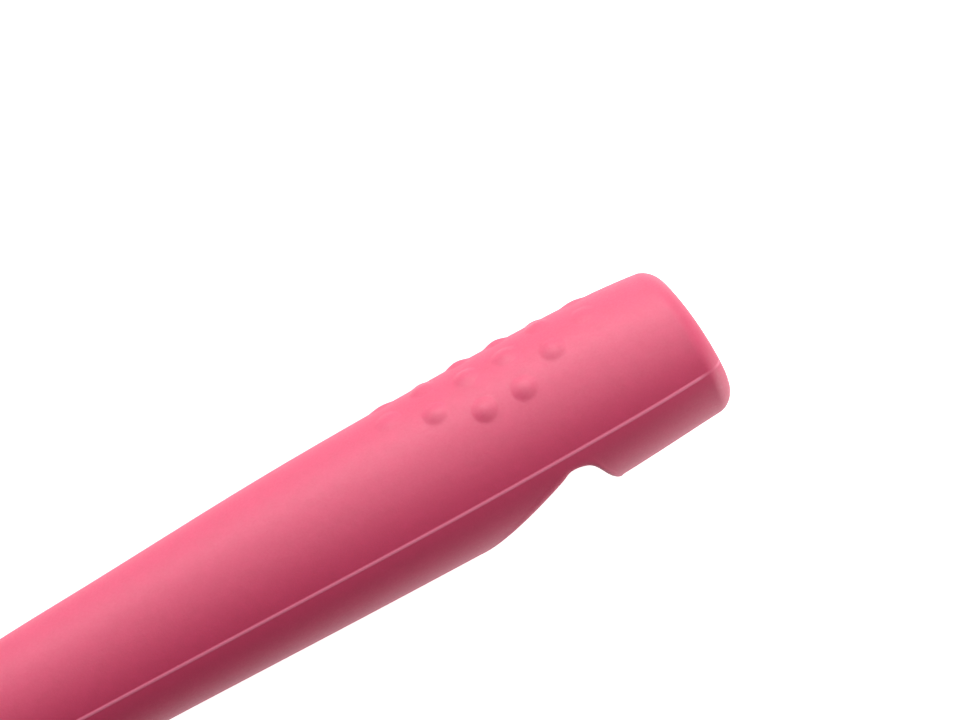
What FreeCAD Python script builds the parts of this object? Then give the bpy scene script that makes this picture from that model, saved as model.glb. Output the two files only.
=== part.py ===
"""Hoof pick: a soft moulded grip over a nylon core that holds a steel hook and a stiff brush.

Tool coordinates, in millimetres: X runs along the handle, with x = 0 at the butt face and the hook at
minus X.  Z points to the back of the handle, away from the hook, and Y is across.  The tool is the same
on both sides of its XZ plane.  Distances "from the butt" are positive numbers, minus x.
main() lays the finished tool on one side, as it rests on a table: X stays, the back of the handle
faces plus Y, Z is up and the origin is at the middle of the footprint.
"""
import FreeCAD, Part
import math
import os

Vector = FreeCAD.Vector

# ---- grip: profile stations, by distance from the butt -------------------------------------------
# (from the butt, back above the datum, belly below it, half width, parting line above the datum)
STATIONS = [
    (0.0, 12.1, 10.2, 12.3, -0.3),
    (6.0, 12.9, 10.4, 12.7, -0.4),
    (20.0, 13.9, 11.05, 12.9, -0.4),
    (42.0, 14.35, 10.8, 12.5, -0.2),
    (64.0, 14.4, 10.0, 11.8, 0.3),
    (94.0, 13.55, 8.8, 10.4, 0.95),
    (110.0, 13.0, 8.3, 9.7, 1.35),
    (118.0, 12.2, 8.1, 9.2, 1.5),
    (126.0, 10.8, 7.6, 9.0, 1.4),
    (134.0, 9.4, 7.2, 9.4, 1.2),
    (140.0, 8.5, 6.8, 10.2, 1.0),
    (146.0, 7.8, 6.4, 11.0, 0.8),
]
SECTION_STEP = 4.0          # spacing of the loft sections
BUTT_ROUND = 2.5            # rim radius of the butt face
BUTT_DOME = 130.0           # radius of the butt face, which is very slightly rounded from back to belly
BUTT_LEAN = 1.0             # degrees the butt face leans, its back edge further forward
WALL = 2.6                  # thickness of the soft grip over the core
STEP_DOWN = 0.5             # how far the bare neck lies under the grip's surface
GRIP_END_BACK = 122.0       # where the grip ends on the back, and on the belly: a slanted edge
GRIP_END_BELLY = 132.0

# ---- finger notch across the belly: (from the butt, above the datum, corner radius) --------------
NOTCH_PROFILE = [
    (18.4, -13.9, 0.0),
    (23.0, -3.2, 2.2),
    (25.6, -3.2, 3.0),
    (49.8, -13.9, 0.0),
]
NOTCH_EDGE = 2.0            # rounding where the notch breaks the grip's surface
CORE_RELIEF = [             # the core under the notch is cut away to this profile
    (15.0, -14.0, 0.0),
    (20.0, 0.2, 2.0),
    (29.5, 0.2, 3.0),
    (54.0, -14.0, 0.0),
]

# ---- raised grip bumps on the back ---------------------------------------------------------------
BUMP_FIRST = 13.3           # from the butt to the first ring of bumps
BUMP_PITCH = 6.18           # between rings
BUMP_STEP = 14.5            # degrees round the back between a bump and the next ring's
BUMP_RINGS = [2, 3, 4, 4, 3, 2]
BUMP_RADIUS = 1.95
BUMP_HEIGHT = 0.52
BUMP_HEIGHT_END = 0.3       # the first and last rings are lower

# ---- core and its head ---------------------------------------------------------------------------
CORE_START = 5.0            # the bar inside the grip, which ends inside the head
CORE_END = 140.0
NECK_START = 112.0          # the thicker neck ahead of the grip's edge
NECK_END = 144.0
HEAD_BACK_END = 133.0
HEAD_FRONT = 177.0
HEAD_HALF_WIDTH = 12.9
HEAD_TOP = 8.5
HEAD_BOTTOM = -7.0
HEAD_ROUND = 2.4
BOSS_LENGTH = 4.0           # raised socket round the hook's shank
BOSS_HALF_WIDTH = 8.6
BOSS_TOP = 3.4
BOSS_BOTTOM = -6.4
BOSS_ROUND = 1.6

# ---- brush ---------------------------------------------------------------------------------------
ROW_PITCH = 6.0
TUFT_PITCH = 5.0
TUFTS_INNER = 8             # in each of the two middle rows
TUFTS_OUTER = 7             # in each of the two outer rows
HOLE_RADIUS = 1.3
HOLE_DEPTH = 7.0
BRISTLE_LENGTH = 20.0       # above the head
TUFT_TIP_RADIUS = 1.95
LEAN_ACROSS = 0.010         # outward lean of a tuft per millimetre from the brush's middle
LEAN_ALONG = 0.006
ANCHOR_LENGTH = 3.2         # flat wire that pins each folded tuft in its hole
ANCHOR_THICK = 0.35
ANCHOR_HEIGHT = 1.6
ANCHOR_LIFT = 0.7           # above the bottom of the hole

# ---- steel hook ----------------------------------------------------------------------------------
TANG_END = 88.0             # the tang's buried end, from the butt
TANG_HALF_WIDTH = 5.0
TANG_CORNER = 2.0           # rounding of the buried end's two corners
TANG_THICK = 3.6
TANG_MIDDLE = -2.1          # height of the bar's middle line
TANG_HOLES = (98.0, 118.0)  # locking holes, filled by the core
TANG_HOLE_RADIUS = 2.5
SHANK_START = 170.0
SHANK_STRAIGHT_TO = 184.0
BEND_RADIUS = 14.0
BEND_TURN = 100.0           # degrees the bar turns through
BLADE_LENGTH = 29.0         # straight part beyond the bend
SHANK_SIZE = (12.0, 4.6)    # width and thickness
BLADE_SIZE = (14.5, 1.6)    # at the tip
BLADE_CORNER = 3.0          # rounding of the tip's two corners
EDGE_ROUND = 0.9
LOFT_STEP = 3.0             # spacing of the hook's sections


# ---- small helpers -------------------------------------------------------------------------------
def natural_spline(knots, values):
    """A smooth function through the points: the natural cubic spline."""
    n = len(knots)
    gaps = [knots[i + 1] - knots[i] for i in range(n - 1)]
    diagonal, right = [1.0] + [0.0] * (n - 1), [0.0] * n
    upper = [0.0] * n
    for i in range(1, n - 1):
        slope_change = (values[i + 1] - values[i]) / gaps[i] - (values[i] - values[i - 1]) / gaps[i - 1]
        diagonal[i] = 2 * (gaps[i - 1] + gaps[i]) - gaps[i - 1] * upper[i - 1]
        upper[i] = gaps[i] / diagonal[i]
        right[i] = (6 * slope_change - gaps[i - 1] * right[i - 1]) / diagonal[i]
    bend = [0.0] * n
    for i in range(n - 2, 0, -1):
        bend[i] = right[i] - upper[i] * bend[i + 1]

    def value(at):
        i = max(0, min(n - 2, sum(1 for k in knots if k <= at) - 1))
        gap, a, b = gaps[i], knots[i + 1] - at, at - knots[i]
        return (
            (bend[i] * a**3 + bend[i + 1] * b**3) / (6 * gap)
            + (values[i] / gap - bend[i] * gap / 6) * a
            + (values[i + 1] / gap - bend[i + 1] * gap / 6) * b
        )

    return value


KNOTS = [station[0] for station in STATIONS]
back_above, belly_below, half_width, parting = (
    natural_spline(KNOTS, [station[i] for station in STATIONS]) for i in (1, 2, 3, 4)
)


def quarter(start, end, corner):
    """A quarter ellipse from start to end whose tangents meet at corner."""
    round_share = 0.5523
    curve = Part.BezierCurve()
    curve.setPoles([
        start,
        start + (corner - start) * round_share,
        end + (corner - end) * round_share,
        end,
    ])
    return curve.toShape()


def section(distance, inset):
    """The handle's outline across X at this distance from the butt, drawn in by inset."""
    x = -distance
    middle = parting(distance)
    top = back_above(distance) - inset
    bottom = -belly_below(distance) + inset
    side = half_width(distance) - inset
    right, up = Vector(x, side, middle), Vector(x, 0, top)
    left, down = Vector(x, -side, middle), Vector(x, 0, bottom)
    corners = [Vector(x, y, z) for y, z in ((side, top), (-side, top), (-side, bottom), (side, bottom))]
    points = [right, up, left, down, right]
    return Part.Wire([quarter(points[i], points[i + 1], corners[i]) for i in range(4)])


def handle_body(start, end, inset):
    """The lofted handle between two distances from the butt."""
    count = max(2, round((end - start) / SECTION_STEP))
    places = [start + (end - start) * i / count for i in range(count + 1)]
    return Part.makeLoft([section(p, inset) for p in places], True, False, False, 5)


def rounded_outline(points):
    """A closed wire of straight lines, with a tangent arc at each (from the butt, z, radius) point."""
    corners = [Vector(-d, 0, z) for d, z, _ in points]
    count = len(points)
    cuts = []
    for i, (_, _, radius) in enumerate(points):
        before = (corners[i - 1] - corners[i]).normalize()
        after = (corners[(i + 1) % count] - corners[i]).normalize()
        half = before.getAngle(after) / 2
        back = radius / math.tan(half)
        bisector = (before + after).normalize()
        middle = corners[i] + bisector * (radius / math.sin(half) - radius)
        cuts.append((corners[i] + before * back, middle, corners[i] + after * back, radius))
    edges = []
    for i, (enter, middle, leave, radius) in enumerate(cuts):
        if radius > 0:
            edges.append(Part.Arc(enter, middle, leave).toShape())
        edges.append(Part.LineSegment(leave, cuts[(i + 1) % count][0]).toShape())
    return Part.Wire(edges)


def prism_across(wire, reach=40.0):
    """A solid of the given outline, running across the tool."""
    face = Part.Face(wire)
    face.translate(Vector(0, -reach / 2, 0))
    return face.extrude(Vector(0, reach, 0))


def front_of_grip():
    """A big block that holds everything ahead of the grip's slanted front edge."""
    far = 260.0
    slope = (GRIP_END_BELLY - GRIP_END_BACK) / (HEAD_TOP - HEAD_BOTTOM)
    reach = 40.0
    back = GRIP_END_BACK - slope * (reach - HEAD_TOP)
    belly = GRIP_END_BACK + slope * (reach + HEAD_TOP)
    outline = [(back, reach, 0), (belly, -reach, 0), (far, -reach, 0), (far, reach, 0)]
    return prism_across(rounded_outline(outline), 2 * reach)


# ---- grip ----------------------------------------------------------------------------------------
def bump_places():
    """(from the butt, angle round the back in radians, height) of each bump."""
    places = []
    for ring, count in enumerate(BUMP_RINGS):
        height = BUMP_HEIGHT_END if ring in (0, len(BUMP_RINGS) - 1) else BUMP_HEIGHT
        for i in range(count):
            angle = (2 * i - (count - 1)) * BUMP_STEP
            places.append((BUMP_FIRST + ring * BUMP_PITCH, math.radians(angle), height))
    return places


def bump(distance, angle, height):
    """A sphere sunk in the handle's back, so that a low dome stands proud."""
    side = half_width(distance)
    rise = back_above(distance) - parting(distance)
    surface = Vector(-distance, side * math.sin(angle), parting(distance) + rise * math.cos(angle))
    outward = Vector(0, math.sin(angle) / side, math.cos(angle) / rise).normalize()
    radius = (height**2 + BUMP_RADIUS**2) / (2 * height)
    sphere = Part.makeSphere(radius)
    # the sphere's own poles and seam are turned away from the dome
    sphere = sphere.rotate(Vector(0, 0, 0), Vector(1, 0, 0), 90)
    sphere = sphere.rotate(Vector(0, 0, 0), Vector(0, 1, 0), 90)
    return sphere.translate(surface - outward * (radius - height))


def butt_barrel():
    """The cylinder, lying across the tool, whose skin is the butt face."""
    lean = math.radians(BUTT_LEAN)
    middle = (back_above(0) - belly_below(0)) / 2
    centre = Vector(-math.cos(lean), 0, -math.sin(lean)) * BUTT_DOME + Vector(0, -30, middle)
    return Part.makeCylinder(BUTT_DOME, 60, centre, Vector(0, 1, 0))


def butt_edges(solid):
    return [e for e in solid.Edges if all(v.Point.x > -1.5 for v in e.Vertexes)]


def lies_on(edge, tool):
    """True for an edge left where the cutting tool broke through the surface."""
    skin = tool.Shells[0]
    points = edge.discretize(5)
    curved = max(abs(p.y - points[0].y) for p in points) < 20
    return curved and all(skin.distToShape(Part.Vertex(p))[0] < 0.01 for p in points)


def grip_outside():
    """The grip's outer shape, not hollowed: body, rounded butt, notch and bumps."""
    body = handle_body(-0.6, KNOTS[-1], 0).common(butt_barrel())
    body = body.makeFillet(BUTT_ROUND, butt_edges(body))
    notch = prism_across(rounded_outline(NOTCH_PROFILE))
    body = body.cut(notch)
    body = body.makeFillet(NOTCH_EDGE, [e for e in body.Edges if lies_on(e, notch)])
    return body.fuse([bump(*place) for place in bump_places()])


def make_grip(core_bar):
    return grip_outside().cut(front_of_grip()).cut(core_bar)


# ---- core ----------------------------------------------------------------------------------------
def make_core_bar():
    """The core inside the grip, relieved over the finger notch."""
    bar = handle_body(CORE_START, CORE_END, WALL)
    return bar.cut(prism_across(rounded_outline(CORE_RELIEF)))


def stadium(back, front, half, bottom, top):
    """An upright block with fully round ends."""
    centres = (Vector(-(back + half), 0, bottom), Vector(-(front - half), 0, bottom))
    height = top - bottom
    corner = Vector(-(front - half), -half, bottom)
    middle = Part.makeBox(front - back - 2 * half, 2 * half, height, corner)
    ends = [Part.makeCylinder(half, height, centre) for centre in centres]
    return middle.fuse(ends).removeSplitter()


def level_edges(solid, level):
    return [e for e in solid.Edges if all(abs(v.Point.z - level) < 0.001 for v in e.Vertexes)]


def make_head():
    block = stadium(HEAD_BACK_END, HEAD_FRONT, HEAD_HALF_WIDTH, HEAD_BOTTOM, HEAD_TOP)
    block = block.makeFillet(HEAD_ROUND, level_edges(block, HEAD_TOP) + level_edges(block, HEAD_BOTTOM))
    boss = Part.makeBox(
        2 * BOSS_HALF_WIDTH, 2 * BOSS_HALF_WIDTH, BOSS_TOP - BOSS_BOTTOM,
        Vector(-(HEAD_FRONT + BOSS_LENGTH), -BOSS_HALF_WIDTH, BOSS_BOTTOM),
    )
    boss = boss.makeFillet(BOSS_ROUND, boss.Edges)
    return block.fuse(boss)


def tuft_places():
    """(from the butt, y) of every tuft, row by row."""
    middle = (HEAD_BACK_END + HEAD_FRONT) / 2
    rows = [(-1.5, TUFTS_OUTER), (-0.5, TUFTS_INNER), (0.5, TUFTS_INNER), (1.5, TUFTS_OUTER)]
    return [
        (middle + (i - (count - 1) / 2) * TUFT_PITCH, row * ROW_PITCH)
        for row, count in rows
        for i in range(count)
    ]


def anchor_at(distance, y):
    foot = HEAD_TOP - HOLE_DEPTH + ANCHOR_LIFT
    corner = Vector(-distance - ANCHOR_LENGTH / 2, y - ANCHOR_THICK / 2, foot)
    return Part.makeBox(ANCHOR_LENGTH, ANCHOR_THICK, ANCHOR_HEIGHT, corner)


def hole_at(distance, y):
    return Part.makeCylinder(HOLE_RADIUS, HOLE_DEPTH + 5, Vector(-distance, y, HEAD_TOP - HOLE_DEPTH))


def make_core(bar, pick, places):
    neck = handle_body(NECK_START, NECK_END, STEP_DOWN).common(front_of_grip())
    core = bar.fuse([neck, make_head()]).removeSplitter()
    core = core.cut([hole_at(*p) for p in places])
    return core.cut([pick] + [anchor_at(*p) for p in places])


# ---- brush ---------------------------------------------------------------------------------------
def make_tuft(distance, y):
    """A bundle of bristles, straight in its hole, then leaning outwards and spreading a little."""
    middle = (HEAD_BACK_END + HEAD_FRONT) / 2
    foot = Vector(-distance, y, HEAD_TOP)
    tip = foot + Vector(-(distance - middle) * LEAN_ALONG, y * LEAN_ACROSS, 1) * BRISTLE_LENGTH
    ends = ((HOLE_RADIUS, foot), (TUFT_TIP_RADIUS, tip))
    rings = [Part.Wire(Part.makeCircle(radius, centre)) for radius, centre in ends]
    root = Part.makeCylinder(HOLE_RADIUS, HOLE_DEPTH, foot - Vector(0, 0, HOLE_DEPTH))
    return Part.makeLoft(rings, True, True).fuse(root).cut(anchor_at(distance, y))


# ---- hook ----------------------------------------------------------------------------------------
def bar_section(middle, along, width, thick, corner):
    """A rounded rectangle square to the direction along, which lies in the XZ plane."""
    out = Vector(along.z, 0, -along.x)
    across = Vector(0, 1, 0)
    w, t = width / 2, thick / 2
    corners = [(w, t), (-w, t), (-w, -t), (w, -t)]
    inner = [(math.copysign(w - corner, a), math.copysign(t - corner, b)) for a, b in corners]
    edges, ends = [], []
    for i, (a, b) in enumerate(corners):
        first = (a, inner[i][1]) if i % 2 == 0 else (inner[i][0], b)
        last = (inner[i][0], b) if i % 2 == 0 else (a, inner[i][1])
        points = [middle + across * p + out * q for p, q in (first, last, (a, b))]
        ends.append((points[0], points[1], quarter(*points)))
    for i in range(4):
        edges.append(ends[i][2])
        edges.append(Part.LineSegment(ends[i][1], ends[(i + 1) % 4][0]).toShape())
    return Part.Wire(edges)


def hook_line():
    """(point, direction, share of the way from shank to tip) along the hook's middle line."""
    turn = math.radians(BEND_TURN)
    centre = Vector(-SHANK_STRAIGHT_TO, 0, TANG_MIDDLE - BEND_RADIUS)
    bend_end = centre + Vector(-math.sin(turn), 0, math.cos(turn)) * BEND_RADIUS
    lengths = [SHANK_STRAIGHT_TO - SHANK_START, BEND_RADIUS * turn, BLADE_LENGTH]
    total = sum(lengths)
    stops = []
    counts = [max(2, round(length / LOFT_STEP)) for length in lengths]
    for i in range(counts[0]):
        run = lengths[0] * i / counts[0]
        stops.append((Vector(-SHANK_START - run, 0, TANG_MIDDLE), Vector(-1, 0, 0), run / total))
    for i in range(counts[1]):
        a = turn * i / counts[1]
        point = centre + Vector(-math.sin(a), 0, math.cos(a)) * BEND_RADIUS
        along = Vector(-math.cos(a), 0, -math.sin(a))
        stops.append((point, along, (lengths[0] + BEND_RADIUS * a) / total))
    down = Vector(-math.cos(turn), 0, -math.sin(turn))
    for i in range(counts[2] + 1):
        run = lengths[2] * i / counts[2]
        stops.append((bend_end + down * run, down, (lengths[0] + lengths[1] + run) / total))
    return stops


def hook_size(share):
    """Width and thickness of the bar: full through the bend, then flaring and thinning to the tip."""
    late = max(0.0, (share - 0.35) / 0.65)
    ease = late * late * (3 - 2 * late)
    width = SHANK_SIZE[0] + (BLADE_SIZE[0] - SHANK_SIZE[0]) * late**2
    return width, SHANK_SIZE[1] + (BLADE_SIZE[1] - SHANK_SIZE[1]) * ease


def tip_corner_cutter(side):
    """What is cut away to round one of the blade's two corners."""
    tip, down, _ = hook_line()[-1]
    out = Vector(down.z, 0, -down.x)
    reach = 20.0
    outer = side * (BLADE_SIZE[0] / 2 + 0.05)
    inner = outer - side * BLADE_CORNER

    def at(y, up):
        return tip + Vector(0, y, 0) - down * up - out * reach / 2

    rim = outer + side * 2.0
    bow = BLADE_CORNER * (1 - math.sqrt(0.5))
    arc = Part.Arc(at(inner, 0), at(outer - side * bow, bow), at(outer, BLADE_CORNER)).toShape()
    path = [at(outer, BLADE_CORNER), at(rim, BLADE_CORNER), at(rim, -1), at(inner, -1), at(inner, 0)]
    lines = [Part.LineSegment(path[i], path[i + 1]).toShape() for i in range(4)]
    return Part.Face(Part.Wire([arc] + lines)).extrude(out * reach)


def make_pick():
    wires = []
    for point, along, share in hook_line():
        width, thick = hook_size(share)
        wires.append(bar_section(point, along, width, thick, min(EDGE_ROUND, thick * 0.4)))
    hook = Part.makeLoft(wires, True, False, False, 3)
    hook = hook.cut([tip_corner_cutter(side) for side in (-1, 1)])
    tang = Part.makeBox(
        SHANK_START - TANG_END + 1.0, 2 * TANG_HALF_WIDTH, TANG_THICK,
        Vector(-SHANK_START - 1.0, -TANG_HALF_WIDTH, TANG_MIDDLE - TANG_THICK / 2),
    )
    end_edges = [e for e in tang.Edges if all(abs(v.Point.x + TANG_END) < 0.001 for v in e.Vertexes)]
    tang = tang.makeFillet(TANG_CORNER, [e for e in end_edges if abs(e.Length - TANG_THICK) < 0.001])
    holes = [
        Part.makeCylinder(TANG_HOLE_RADIUS, 20, Vector(-at, 0, TANG_MIDDLE - 10)) for at in TANG_HOLES
    ]
    return hook.fuse(tang.cut(holes)).removeSplitter()


# ---- assembly ------------------------------------------------------------------------------------
def lie_down(shape):
    """Turns a piece so that the tool lies on one side, its back to plus Y and its hook to minus Y."""
    turn = FreeCAD.Placement(Vector(0, 0, 0), FreeCAD.Rotation(Vector(1, 0, 0), -90))
    turned = shape.copy()
    turned.transformShape(turn.toMatrix(), True)
    return turned


def main():
    os.makedirs("parts", exist_ok=True)
    places = tuft_places()
    pick = make_pick()
    bar = make_core_bar()
    pieces = {
        "pick": pick,
        "core": make_core(bar, pick, places),
        "grip": make_grip(bar),
        "tuft_anchors": Part.makeCompound([anchor_at(*p) for p in places]),
    }
    for number, where in enumerate(places, 1):
        pieces[f"tuft_{number:02d}"] = make_tuft(*where)
    lying = {name: lie_down(shape) for name, shape in pieces.items()}
    whole = Part.makeCompound(list(lying.values())).optimalBoundingBox()
    shift = Vector(-(whole.XMin + whole.XMax) / 2, -(whole.YMin + whole.YMax) / 2, -whole.ZMin)
    for name, shape in lying.items():
        shape.translate(shift)
        shape.exportStep(f"parts/{name}.step")
    print("moved by", shift, "overall", whole.XLength, whole.YLength, whole.ZLength)


main()
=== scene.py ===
"""Look of the hoof pick: soft pink grip, black nylon neck and brush head, bristles and steel hook.

Works in metres in the CAD frame: the tool lies on one side, X from the hook to the butt, the back of the
handle to plus Y, Z up.  handle() turns the handle's own coordinates in millimetres (distance from the
butt, across, above the datum) into that frame.
"""
import math
import random

import bpy
import numpy as np
from mathutils import Matrix, Vector


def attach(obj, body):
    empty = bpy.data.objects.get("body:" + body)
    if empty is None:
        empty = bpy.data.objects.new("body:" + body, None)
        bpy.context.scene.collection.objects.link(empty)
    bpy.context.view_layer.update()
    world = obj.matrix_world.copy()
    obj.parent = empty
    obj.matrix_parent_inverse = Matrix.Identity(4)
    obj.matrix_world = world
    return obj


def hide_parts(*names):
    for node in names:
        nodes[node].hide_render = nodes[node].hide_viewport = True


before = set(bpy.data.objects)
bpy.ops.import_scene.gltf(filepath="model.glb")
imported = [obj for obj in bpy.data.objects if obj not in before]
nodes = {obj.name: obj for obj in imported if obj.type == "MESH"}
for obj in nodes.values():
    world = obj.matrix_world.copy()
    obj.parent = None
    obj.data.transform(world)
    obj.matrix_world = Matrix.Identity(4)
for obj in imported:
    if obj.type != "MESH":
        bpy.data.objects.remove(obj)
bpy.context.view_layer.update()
MM = 0.001                  # metres in a millimetre

# ---- the handle's own coordinates ----------------------------------------------------------------
DATUM = (99.9991, 9.3647, 12.9198)   # mm, where the handle's datum meets the butt in the frame


def handle(points):
    """Handle points in mm (distance from the butt, across, above the datum) as frame points in m."""
    d, y, z = np.asarray(points, float).T
    return np.stack([DATUM[0] - d, DATUM[1] + z, DATUM[2] - y], 1) * MM


def handle_direction(to_butt, across, up):
    """A direction in the handle's own axes as a frame direction."""
    return Vector((to_butt, up, -across))


def natural_spline(knots, values):
    """A smooth function through the points: the natural cubic spline."""
    x, y = np.array(knots, float), np.array(values, float)
    count = len(x)
    gaps = np.diff(x)
    matrix, right = np.eye(count), np.zeros(count)
    for i in range(1, count - 1):
        matrix[i, i - 1 : i + 2] = gaps[i - 1], 2 * (gaps[i - 1] + gaps[i]), gaps[i]
        right[i] = 6 * ((y[i + 1] - y[i]) / gaps[i] - (y[i] - y[i - 1]) / gaps[i - 1])
    bend = np.linalg.solve(matrix, right)

    def value(at):
        at = np.asarray(at, float)
        i = np.clip(np.searchsorted(x, at, side="right") - 1, 0, count - 2)
        gap, a, b = gaps[i], x[i + 1] - at, at - x[i]
        return (
            (bend[i] * a**3 + bend[i + 1] * b**3) / (6 * gap)
            + (y[i] / gap - bend[i] * gap / 6) * a
            + (y[i + 1] / gap - bend[i + 1] * gap / 6) * b
        )

    return value


# (from the butt, back above the datum, belly below it, half width, parting line above the datum)
STATIONS = [
    (0.0, 12.1, 10.2, 12.3, -0.3),
    (6.0, 12.9, 10.4, 12.7, -0.4),
    (20.0, 13.9, 11.05, 12.9, -0.4),
    (42.0, 14.35, 10.8, 12.5, -0.2),
    (64.0, 14.4, 10.0, 11.8, 0.3),
    (94.0, 13.55, 8.8, 10.4, 0.95),
    (110.0, 13.0, 8.3, 9.7, 1.35),
    (118.0, 12.2, 8.1, 9.2, 1.5),
    (126.0, 10.8, 7.6, 9.0, 1.4),
    (134.0, 9.4, 7.2, 9.4, 1.2),
    (140.0, 8.5, 6.8, 10.2, 1.0),
    (146.0, 7.8, 6.4, 11.0, 0.8),
]
back_above, belly_below, half_width, parting = (
    natural_spline([s[0] for s in STATIONS], [s[i] for s in STATIONS]) for i in (1, 2, 3, 4)
)

BUTT_ROUND = 2.7            # a little softer than in the plain solid
BUTT_FALL_OFF = 0.5         # how much further the face falls back near its back and belly edges
BUTT_DOME = 130.0           # radius of the butt face, very slightly rounded from back to belly
BUTT_LEAN = 1.0             # degrees the butt face leans, its back edge further forward
NOTCH = [                   # (from the butt, above the datum), the steep end first
    (18.2, -13.9),
    (20.4, -9.4),
    (21.4, -7.1),
    (22.0, -5.0),
    (23.0, -3.5),
    (24.6, -2.9),
    (26.0, -2.85),
    (27.3, -3.65),
    (49.8, -13.8),
]
NOTCH_SOFT = 2.0            # how softly the notch breaks the surface
NOTCH_SOFTER_END = 1.5      # more of the same at its steep end
NOTCH_CORNER = 0.9          # smoothing of the notch's own corners
NOTCH_FROM, NOTCH_TO = 14.0, 62.0
GRIP_END_BACK, GRIP_END_BELLY = 122.0, 132.0
HEAD_TOP, HEAD_BOTTOM = 8.5, -7.0
EDGE_SLOPE = (GRIP_END_BELLY - GRIP_END_BACK) / (HEAD_TOP - HEAD_BOTTOM)
EDGE_ROWS = 14              # rows that lead up to the grip's slanted front edge
EDGE_LIP = 0.62             # how far that edge rolls over
BUMP_FIRST, BUMP_PITCH, BUMP_STEP = 13.3, 6.18, 14.5
BUMP_RINGS = [2, 3, 4, 4, 3, 2]
BUMP_RADIUS, BUMP_HEIGHT, BUMP_HEIGHT_END = 2.0, 0.44, 0.25
SEAM_WIDTH, SEAM_HEIGHT = 0.30, 0.06
SKIN_INSET = SEAM_HEIGHT + 0.01      # keeps the raised parting line inside the solid's width


# ---- mesh helpers --------------------------------------------------------------------------------
def mesh_object(name, vertices, faces, smooth=True):
    mesh = bpy.data.meshes.new(name)
    mesh.from_pydata([tuple(v) for v in vertices], [], faces)
    mesh.validate()
    if smooth:
        mesh.shade_smooth()
    obj = bpy.data.objects.new(name, mesh)
    bpy.context.scene.collection.objects.link(obj)
    return obj


def tube_faces(rings, around, first=0):
    """Faces between closed rings of points, ring after ring, whose first point has the number first."""
    corners = ((0, 0), (0, 1), (1, 1), (1, 0))
    return [
        tuple(first + (i + di) * around + (j + dj) % around for di, dj in corners)
        for i in range(rings - 1)
        for j in range(around)
    ]


def add_value(obj, name, values):
    """Gives the object a number per vertex that a material can read."""
    layer = obj.data.attributes.new(name, "FLOAT", "POINT")
    layer.data.foreach_set("value", np.asarray(values, np.float32))


# ---- the grip ------------------------------------------------------------------------------------
def notch_level(d):
    """Height of the notch's surface above the datum, its corners softened."""
    knots = np.array(NOTCH, float)
    offsets = np.linspace(-1, 1, 15)
    weights = (1 - offsets**2) ** 1.5
    level = sum(
        w * np.interp(d + o * NOTCH_CORNER, knots[:, 0], knots[:, 1]) for o, w in zip(offsets, weights)
    )
    return level / weights.sum()


def soft_max(a, b, k):
    """The larger of a and b, blended over a band of width k."""
    h = np.clip(0.5 + 0.5 * (a - b) / k, 0, 1)
    return b + (a - b) * h + k * h * (1 - h) / 2


def grip_angles():
    """Angles round the handle from the back, closer together at the parting line."""
    even = np.linspace(0, math.pi / 2, 64, endpoint=False)
    fine = math.pi / 2 - np.array([0.085, 0.06, 0.045, 0.036, 0.03, 0.024, 0.018, 0.012, 0.006, 0.0])
    quarter = np.union1d(even[even < math.pi / 2 - 0.1], fine)
    half = np.concatenate([quarter, math.pi - quarter[:-1][::-1]])
    return np.concatenate([half, 2 * math.pi - half[1:-1][::-1]])


def grip_surface(d, t, inset):
    """Plain handle surface at distances d and angles t, drawn in by inset: (across, above the datum)."""
    side = half_width(d) - inset - SKIN_INSET
    back, belly, middle = back_above(d) - inset, belly_below(d) - inset, parting(d)
    y = side * np.sin(t)
    c = np.cos(t)
    return y, np.where(c >= 0, middle + (back - middle) * c, middle + (belly + middle) * c)


def grip_rows():
    """(from the butt, inset, share of the full outline) of each row: butt face, rim, then the handle."""
    turn = np.linspace(0, math.pi / 2, 22)[-2::-1]
    face_share = np.linspace(0.0, 1.0, 9)[1:]
    along = np.concatenate([
        np.arange(BUTT_ROUND + 0.3, 11.0, 0.4),
        np.arange(11.0, 52.0, 0.2),
        np.arange(52.0, GRIP_END_BACK - 6, 0.7),
    ])
    parts = [
        (0.0, BUTT_ROUND, face_share),
        (BUTT_ROUND * (1 - np.sin(turn)), BUTT_ROUND * (1 - np.cos(turn)), 1.0),
        (along, 0.0, 1.0),
    ]
    return np.concatenate([np.stack(np.broadcast_arrays(*columns), 1) for columns in parts])


def front_edge_rows(last, angles):
    """Distances from the butt of the rows between the last straight row and the slanted front edge."""
    end = np.full(len(angles), (GRIP_END_BACK + GRIP_END_BELLY) / 2 - 1.0)
    for _ in range(4):
        _, z = grip_surface(end, angles, 0.0)
        end = GRIP_END_BACK + (HEAD_TOP - z) * EDGE_SLOPE
    return np.array([last + (end - last) * k / EDGE_ROWS for k in range(1, EDGE_ROWS + 1)])


def cut_notch(d, z):
    """The heights z with the finger notch taken out of the belly."""
    level = notch_level(d)
    depth = np.clip((level + 14.0) / 11.0, 0.25, 1.0)        # the shallow ends are crisper
    steep = np.clip((23.5 - d) / 3.0, 0, 1)
    softness = NOTCH_SOFT * depth + NOTCH_SOFTER_END * steep
    belly = (z < parting(d) - 0.3) & (d > NOTCH_FROM) & (d < NOTCH_TO)
    return np.where(belly, soft_max(z, level, softness), z)


def butt_fall(z, middle):
    """How far the leaning, slightly rounded butt face lies inside its own plane at height z."""
    lean = math.tan(math.radians(BUTT_LEAN))
    fall = (z - middle) * lean + (z - middle) ** 2 / (2 * BUTT_DOME) + 0.004
    return fall + BUTT_FALL_OFF * ((z - middle) / back_above(0.0)) ** 4


def outward(grid):
    """The unit outward direction at every point of a closed grid of rows."""
    along = np.gradient(grid, axis=0)
    around = (np.roll(grid, -1, 1) - np.roll(grid, 1, 1)) / 2
    normal = np.cross(around, along)
    return normal / (np.linalg.norm(normal, axis=2, keepdims=True) + 1e-12)


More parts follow.
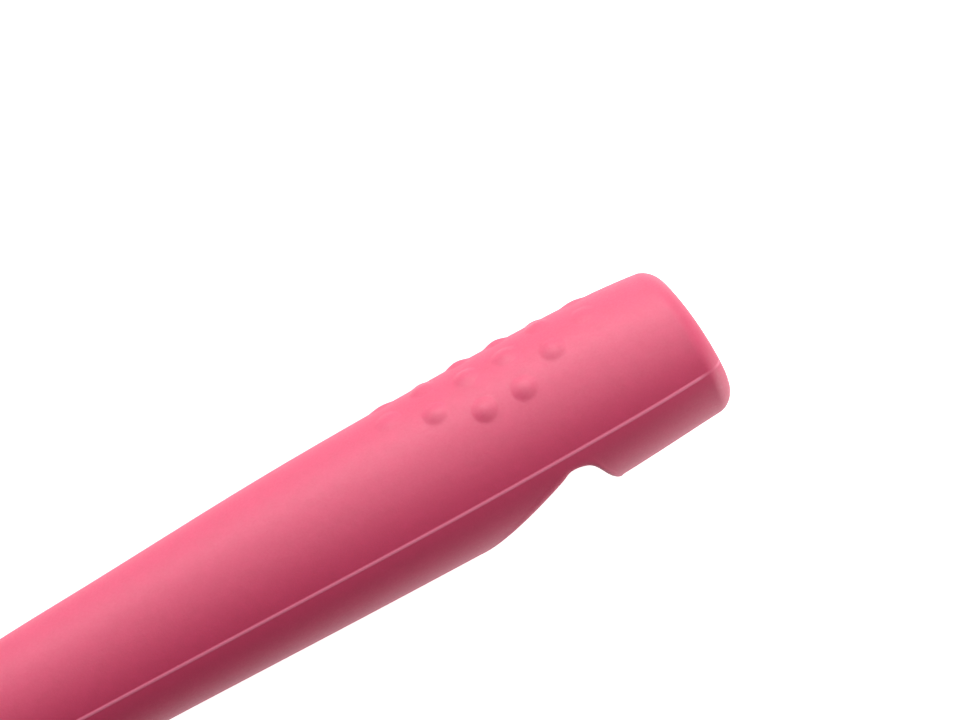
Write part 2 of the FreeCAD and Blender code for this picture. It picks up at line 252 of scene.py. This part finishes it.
def bump_lift(d, y, z):
    """Height of the low bumps on the back."""
    lift = np.zeros(d.shape)
    for ring, count in enumerate(BUMP_RINGS):
        height = BUMP_HEIGHT_END if ring in (0, len(BUMP_RINGS) - 1) else BUMP_HEIGHT
        at = BUMP_FIRST + ring * BUMP_PITCH
        for i in range(count):
            angle = math.radians((2 * i - (count - 1)) * BUMP_STEP)
            by, bz = grip_surface(np.array([at]), np.array([angle]), 0.0)
            r = np.sqrt((d - at) ** 2 + (y - by[0]) ** 2 + (z - bz[0]) ** 2) / BUMP_RADIUS
            dome = np.clip(1 - r**2, 0, 1)
            lift = np.maximum(lift, height * (0.6 * dome + 0.4 * dome**2))
    return lift


def seam_strength(d, t, share):
    """1 on the parting line along both sides and over the rim of the butt, 0 beside it."""
    beside = np.minimum(np.abs(t - math.pi / 2), np.abs(t - 3 * math.pi / 2))
    beside = beside * np.where(np.cos(t) > 0, back_above(d), belly_below(d))
    seam = np.clip(1 - (beside / SEAM_WIDTH) ** 2, 0, 1) * (share == 1.0)
    # the line fades where it turns over the rim
    return seam * np.interp(d, [0.0, 0.7, 1.6, 2.4, 4.2], [0.7, 0.6, 0.05, 0.25, 1.0])


def make_grip():
    angles = grip_angles()
    middle = (back_above(0.0) - belly_below(0.0)) / 2
    rows = grip_rows()
    d, inset, share = (np.repeat(column[:, None], len(angles), 1) for column in rows.T)
    y, z = grip_surface(d, np.repeat(angles[None], len(d), 0), inset)
    y = y * share
    z = middle + (z - middle) * share
    front = front_edge_rows(rows[-1, 0], angles)
    front_y, front_z = grip_surface(front, np.repeat(angles[None], EDGE_ROWS, 0), 0.0)
    d, y, z = np.vstack([d, front]), np.vstack([y, front_y]), np.vstack([z, front_z])
    share = np.vstack([share, np.ones(front.shape)])
    t = np.repeat(angles[None], len(d), 0)
    z = cut_notch(d, z)
    d = d + butt_fall(z, middle) * np.clip(1 - d / 14.0, 0, 1) ** 2
    grid = np.stack([-d, y, z], 2)
    normal = outward(grid)
    seam = seam_strength(d, t, share)
    lift = bump_lift(d, y, z) + seam * SEAM_HEIGHT * np.clip((d - 0.3) / 2.0, 0, 1)
    grid = grid + normal * lift[..., None]
    # the front edge rolls under
    under = []
    for ahead, inward in ((0.28, 0.12), (0.55, 0.45), (EDGE_LIP, 1.0), (EDGE_LIP, 2.4)):
        ring = grid[-1] - normal[-1] * inward
        ring[:, 0] -= ahead - EDGE_LIP
        under.append(ring)
    grid[-1, :, 0] += EDGE_LIP
    grid = np.concatenate([grid, np.array(under)], 0)
    count, around = grid.shape[:2]
    points = np.vstack([grid.reshape(-1, 3), [[0.0, 0.0, middle]]])
    points[:, 0] *= -1
    hub = count * around
    faces = tube_faces(count, around) + [(hub, (j + 1) % around, j) for j in range(around)]
    obj = mesh_object("grip_skin", handle(points), faces)
    # how pale the parting line is painted: partly its whitened flash, partly a painted highlight where
    # the ridge catches the light
    seam_whitening_and_painted_highlight = np.zeros(len(points))
    seam_whitening_and_painted_highlight[: seam.size] = seam.ravel()
    add_value(obj, "seam", seam_whitening_and_painted_highlight)
    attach(obj, "root")
    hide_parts("grip")
    return obj


# ---- materials -----------------------------------------------------------------------------------
class Shader:
    """Small helper that builds a node material."""

    def __init__(self, name):
        self.material = bpy.data.materials.new(name)
        self.material.use_nodes = True
        self.tree = self.material.node_tree
        self.base = self.tree.nodes["Principled BSDF"]

    def node(self, kind, **values):
        made = self.tree.nodes.new(kind)
        for key, value in values.items():
            if hasattr(made, key):
                setattr(made, key, value)
            else:
                made.inputs[key.replace("_", " ")].default_value = value
        return made

    def link(self, source, target):
        self.tree.links.new(source, target)

    def set(self, **values):
        for key, value in values.items():
            self.base.inputs[key.replace("_", " ")].default_value = value

    def noise(self, scale, detail=3.0, rough=0.5):
        coords = self.node("ShaderNodeTexCoord")
        made = self.node("ShaderNodeTexNoise", Scale=scale, Detail=detail, Roughness=rough)
        self.link(coords.outputs["Object"], made.inputs["Vector"])
        return made

    def ramp(self, source, low, high, first, last):
        made = self.node("ShaderNodeMapRange")
        made.inputs["From Min"].default_value = low
        made.inputs["From Max"].default_value = high
        made.inputs["To Min"].default_value = first
        made.inputs["To Max"].default_value = last
        self.link(source, made.inputs["Value"])
        return made.outputs["Result"]

    def mix(self, factor, first, second):
        made = self.node("ShaderNodeMix", data_type="RGBA")
        for value, slot in ((factor, 0), (first, 6), (second, 7)):
            if isinstance(value, (tuple, float, int)):
                made.inputs[slot].default_value = value
            else:
                self.link(value, made.inputs[slot])
        return made.outputs[2]

    def blotches(self, noise, first, second):
        """A colour that wanders between two close ones."""
        factor = self.ramp(noise.outputs["Fac"], 0.3, 0.7, 0.0, 1.0)
        return self.mix(factor, (*first, 1), (*second, 1))

    def colour(self, source):
        self.link(source, self.base.inputs["Base Color"])

    def roughness(self, noise, low, high):
        self.link(self.ramp(noise.outputs["Fac"], 0.3, 0.7, low, high), self.base.inputs["Roughness"])

    def bump(self, noise, distance, strength, before=None):
        """Relief from a noise, on top of an earlier one; the surface gets the last one made."""
        made = self.node("ShaderNodeBump")
        made.inputs["Strength"].default_value = strength
        made.inputs["Distance"].default_value = distance
        self.link(noise.outputs["Fac"], made.inputs["Height"])
        if before is not None:
            self.link(before, made.inputs["Normal"])
        self.link(made.outputs["Normal"], self.base.inputs["Normal"])
        return made.outputs["Normal"]


def pink_material():
    """Matt soft-touch rubber with a fine grain; the parting line is paler: whitened flash plus a painted
    highlight.
    """
    s = Shader("pink_soft_touch")
    s.set(
        IOR=1.45, Specular_IOR_Level=1.0,
        Sheen_Weight=0.04, Sheen_Roughness=0.5, Sheen_Tint=(1.0, 0.85, 0.88, 1),
        Subsurface_Weight=0.12, Subsurface_Radius=(1.0, 0.35, 0.4), Subsurface_Scale=0.0012,
    )
    body = s.blotches(s.noise(520.0, 5.0, 0.7), (0.375, 0.0105, 0.061), (0.409, 0.0125, 0.069))
    # the parting line is mixed to a paler pink: partly whitened flash, partly a painted highlight of the
    # ridge catching the light
    seam = s.node("ShaderNodeAttribute", attribute_name="seam")
    s.colour(s.mix(s.ramp(seam.outputs["Fac"], 0.0, 0.9, 0.0, 0.9), body, (0.60, 0.135, 0.225, 1)))
    grain = s.noise(3200.0, 2.0, 0.6)
    s.bump(s.noise(900.0, 2.0, 0.5), 0.00003, 0.35, s.bump(grain, 0.00002, 0.5))
    s.roughness(grain, 0.55, 0.65)
    return s.material


def nylon_material():
    s = Shader("black_nylon")
    s.colour(s.blotches(s.noise(45.0, 3.0), (0.016, 0.016, 0.018), (0.024, 0.023, 0.025)))
    grain = s.noise(2600.0, 3.0, 0.6)
    s.bump(grain, 0.00003, 0.6)
    s.roughness(grain, 0.42, 0.58)
    return s.material


def steel_material():
    """Satin steel, brushed along the handle."""
    s = Shader("satin_steel")
    s.set(Metallic=1.0)
    s.colour(s.blotches(s.noise(38.0, 4.0), (0.40, 0.41, 0.425), (0.50, 0.505, 0.51)))
    coords = s.node("ShaderNodeTexCoord")
    stretch = s.node("ShaderNodeMapping")
    stretch.inputs["Scale"].default_value = (300.0, 5200.0, 300.0)
    s.link(coords.outputs["Object"], stretch.inputs["Vector"])
    lines = s.node("ShaderNodeTexNoise", Scale=1.0, Detail=3.0, Roughness=0.6)
    s.link(stretch.outputs["Vector"], lines.inputs["Vector"])
    s.bump(lines, 0.000006, 0.6)
    s.roughness(lines, 0.22, 0.42)
    return s.material


def bristle_material():
    s = Shader("bristle_nylon")
    s.set(Specular_IOR_Level=0.55)
    broad = s.noise(420.0, 2.0)
    s.colour(s.blotches(broad, (0.012, 0.012, 0.014), (0.05, 0.048, 0.05)))
    s.roughness(broad, 0.3, 0.5)
    return s.material


def brass_material():
    s = Shader("anchor_brass")
    s.set(Metallic=1.0, Roughness=0.35)
    s.colour(s.blotches(s.noise(900.0, 3.0), (0.62, 0.42, 0.16), (0.74, 0.54, 0.25)))
    return s.material


def floor_material():
    s = Shader("pale_floor")
    s.set(Roughness=0.8, Specular_IOR_Level=0.2, Emission_Color=(1, 1, 1, 1), Emission_Strength=0.8)
    s.colour(s.blotches(s.noise(6.0, 2.0), (0.93, 0.93, 0.93), (0.95, 0.95, 0.95)))
    return s.material


# ---- pieces --------------------------------------------------------------------------------------
def paint(obj, material):
    obj.data.materials.clear()
    obj.data.materials.append(material)


grip = make_grip()
paint(grip, pink_material())
nylon, steel, bristle, brass = nylon_material(), steel_material(), bristle_material(), brass_material()
paint(nodes["core"], nylon)
paint(nodes["pick"], steel)
paint(nodes["tuft_anchors"], brass)


# ---- bristles ------------------------------------------------------------------------------------
HOLE_RADIUS, BRISTLE_LENGTH, TUFT_TIP_RADIUS = 1.3, 20.0, 1.95
LEAN_ACROSS, LEAN_ALONG = 0.010, 0.006       # outward lean per millimetre from the brush's middle
ROW_PITCH, TUFT_PITCH = 6.0, 5.0
ROWS = [(-1.5, 7), (-0.5, 8), (0.5, 8), (1.5, 7)]
HEAD_MIDDLE = 155.0
FILAMENT_RADIUS = 0.17
FILAMENT_RINGS = [(6, 0.36), (11, 0.64), (16, 0.9)]      # (filaments, share of the hole's radius)
FILAMENT_SINK = 1.5         # how deep in its hole a filament starts
FILAMENT_TRIM = 0.35        # the longest is cut this much under the solid tuft's length, then varied
TIP_INSET = 0.45            # keeps the spread tips inside the solid tuft
STEPS = 6                   # straight stretches along a filament
SIDES = 6


def tuft_places():
    """(from the butt, across) of every tuft, row by row."""
    return [
        (HEAD_MIDDLE + (i - (count - 1) / 2) * TUFT_PITCH, row * ROW_PITCH)
        for row, count in ROWS
        for i in range(count)
    ]


def filament(points, radius):
    """Rings of a round thread through the points (handle mm), the last one smaller and further on."""
    heading = points[-1] - points[0]
    heading /= np.linalg.norm(heading)
    side = np.cross(heading, [0.0, 1.0, 0.0])
    side /= np.linalg.norm(side)
    other = np.cross(heading, side)
    turns = [2 * math.pi * k / SIDES for k in range(SIDES)]
    spokes = [math.cos(a) * side + math.sin(a) * other for a in turns]
    rings = [(p, radius) for p in points] + [(points[-1] + heading * 0.1, 0.6 * radius)]
    return [centre + reach * spoke for centre, reach in rings for spoke in spokes]


def filament_spots():
    """Where the filaments stand in a tuft, as shares of its radius: one and three rings round it."""
    spots = [(0.0, 0.0)]
    for ring, (count, share) in enumerate(FILAMENT_RINGS):
        turns = [2 * math.pi * (k + 0.3 * ring) / count for k in range(count)]
        spots += [(share * math.cos(a), share * math.sin(a)) for a in turns]
    return spots


def filament_path(rng, d, y, u, v):
    """The points along the filament at spot (u, v) of the tuft at (d, y)."""
    u, v = u + rng.uniform(-0.05, 0.05), v + rng.uniform(-0.05, 0.05)
    length = BRISTLE_LENGTH - FILAMENT_TRIM + rng.uniform(-0.35, 0.2)
    bow = np.array([rng.uniform(-0.22, 0.22), rng.uniform(-0.22, 0.22), 0])
    room = HOLE_RADIUS - FILAMENT_RADIUS
    spread = TUFT_TIP_RADIUS - TIP_INSET
    start = np.array([d + u * room, y + v * room, HEAD_TOP - FILAMENT_SINK])
    lean = np.array([(d - HEAD_MIDDLE) * LEAN_ALONG, y * LEAN_ACROSS]) * length
    end = np.array([d + lean[0] + u * spread, y + lean[1] + v * spread, HEAD_TOP + length])
    shares = [k / STEPS for k in range(STEPS + 1)]
    return [start + (end - start) * f + bow * math.sin(math.pi * f) for f in shares]


def make_tuft(number, d, y):
    rng = random.Random(1000 + number)
    vertices, faces = [], []
    for u, v in filament_spots():
        first = len(vertices)
        rings = STEPS + 2
        vertices += filament(filament_path(rng, d, y, u, v), FILAMENT_RADIUS)
        faces += tube_faces(rings, SIDES, first)
        faces.append(tuple(first + (rings - 1) * SIDES + k for k in range(SIDES)))
    obj = mesh_object(f"bristles_{number:02d}", handle(vertices), faces)
    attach(obj, "root")
    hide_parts(f"tuft_{number:02d}")
    paint(obj, bristle)


for number, (d, y) in enumerate(tuft_places(), 1):
    make_tuft(number, d, y)


# ---- studio --------------------------------------------------------------------------------------
LIT = (0.05, 0, 0.012)      # the point of the grip that the lights are aimed at
FLOOR = 6.0                 # half the floor's width


def area_light(name, where, size, power):
    """A soft rectangular light that points at the tool."""
    lamp = bpy.data.lights.new(name, "AREA")
    lamp.shape = "RECTANGLE"
    lamp.size, lamp.size_y = size
    lamp.energy = power
    obj = bpy.data.objects.new(name, lamp)
    obj.location = where
    obj.rotation_mode = "QUATERNION"
    obj.rotation_quaternion = (Vector(LIT) - Vector(where)).to_track_quat("-Z", "Y")
    bpy.context.scene.collection.objects.link(obj)


corners = [(-FLOOR, -FLOOR, 0), (FLOOR, -FLOOR, 0), (FLOOR, FLOOR, 0), (-FLOOR, FLOOR, 0)]
floor = mesh_object("floor", corners, [(0, 1, 2, 3)], smooth=False)
paint(floor, floor_material())

world = bpy.data.worlds.new("studio")
world.use_nodes = True
world.node_tree.nodes["Background"].inputs["Color"].default_value = (1, 1, 1, 1)
world.node_tree.nodes["Background"].inputs["Strength"].default_value = 0.15
scene = bpy.context.scene
scene.world = world
scene.view_settings.view_transform = "Standard"

area_light("softbox_back", (0.05, 0.83, 0.18), (0.9, 0.3), 5.2)
area_light("softbox_back_right", (0.30, 0.53, 0.15), (0.6, 0.25), 2.2)
area_light("softbox_over", (0.17, 0.32, 0.49), (0.6, 0.25), 2.1)
area_light("softbox_end", (0.38, 0.01, 0.12), (0.3, 0.2), 0.2)
area_light("softbox_front", (0.35, -0.25, 0.10), (0.35, 0.15), 1.05)

# ---- camera: over the lying tool, a little to the side of its back, rolled with the handle -------
ABOVE = math.radians(19.5)  # how far round from the tool's side, towards its back
TURNED = math.radians(2.0)  # how far round towards the butt
ROLL = math.radians(29.4)
DISTANCE = 0.375
AIM = Vector(handle([(28.77, 0.0, 13.73)])[0])
level = math.cos(TURNED)
look = handle_direction(math.sin(TURNED), level * math.cos(ABOVE), -level * math.sin(ABOVE))
across = look.cross(handle_direction(0, 0, 1)).normalized()
upward = across.cross(look)
right = across * math.cos(ROLL) - upward * math.sin(ROLL)
up = across * math.sin(ROLL) + upward * math.cos(ROLL)
lens = bpy.data.cameras.new("camera")
lens.lens = 100.0
lens.sensor_width = 36.0
camera = bpy.data.objects.new("camera", lens)
turn = Matrix((right, up, -look)).transposed().to_4x4()
camera.matrix_world = Matrix.Translation(AIM - look * DISTANCE) @ turn
scene.collection.objects.link(camera)
scene.camera = camera
